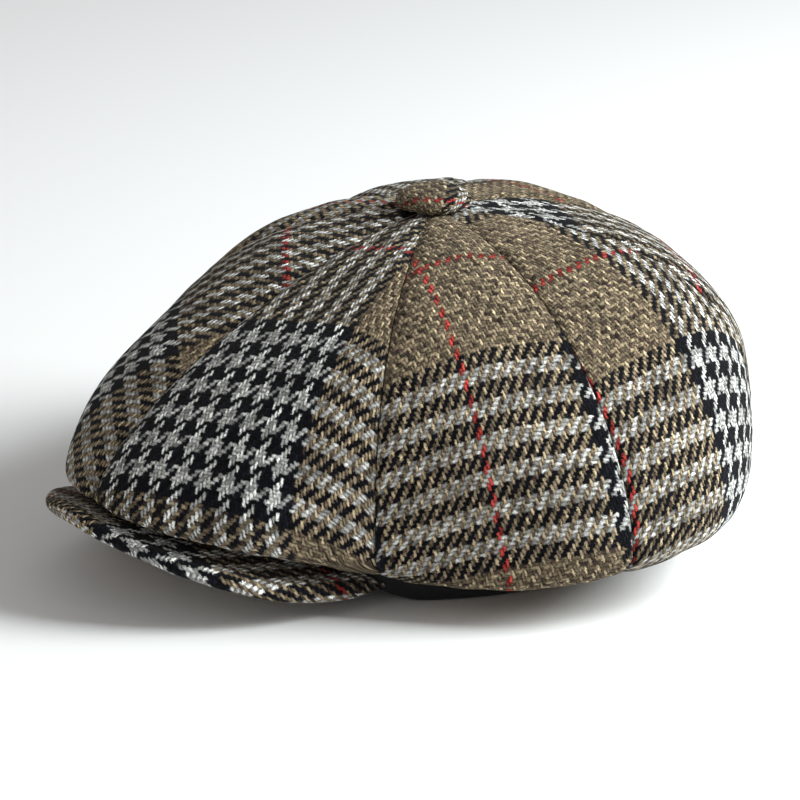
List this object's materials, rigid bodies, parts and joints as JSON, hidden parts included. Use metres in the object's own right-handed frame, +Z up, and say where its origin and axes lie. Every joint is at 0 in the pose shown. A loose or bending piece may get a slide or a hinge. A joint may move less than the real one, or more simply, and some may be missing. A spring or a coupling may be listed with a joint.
{
  "type": "newsboy cap",
  "caption": "Soft round cap with puffed wedge panels meeting under a covered button, a headband, and a padded, arched peak under the front of the crown.",
  "frame": {"origin": "centre of the head opening, on the headband's bottom edge", "axes": "-Y is the way the wearer looks, +X the wearer's left, +Z up out of the crown"},
  "size_m": [0.2736, 0.2922, 0.1362],
  "materials": {
    "tweed": "coarse two-and-two twill wool tweed in black, off-white, tan and brown with a thin red overcheck",
    "satin_lining": "smooth black satin",
    "black_cotton": "plain black cotton",
    "sweatband_twill": "black cotton twill, folded at the lower edge",
    "buckram": "stiff open-weave cotton",
    "peak_board": "semi-rigid polyethylene sheet",
    "wadding": "bonded polyester wadding",
    "button_metal": "pressed sheet",
    "prong_steel": "plated sheet",
    "join_tape": "black cotton tape",
    "label_satin": "plain woven satin, no print"
  },
  "bodies": {
    "root": {"crown_panel_1": "tweed", "crown_panel_2": "tweed", "crown_panel_3": "tweed", "crown_panel_4": "tweed", "crown_panel_5": "tweed", "crown_panel_6": "tweed", "crown_panel_7": "tweed", "crown_panel_8": "tweed", "lining_panel_1": "satin_lining", "lining_panel_2": "satin_lining", "lining_panel_3": "satin_lining", "lining_panel_4": "satin_lining", "lining_panel_5": "satin_lining", "lining_panel_6": "satin_lining", "lining_panel_7": "satin_lining", "lining_panel_8": "satin_lining", "headband": "black_cotton", "sweatband": "sweatband_twill", "band_stiffener": "buckram", "peak_upper_cover": "tweed", "peak_under_cover": "tweed", "peak_board": "peak_board", "peak_wadding": "wadding", "button_cover": "tweed", "button_shell": "button_metal", "button_back": "prong_steel", "button_washer": "prong_steel", "tip_backing": "buckram", "sweatband_join_tape": "join_tape", "size_label": "label_satin"}
  },
  "joints": []
}
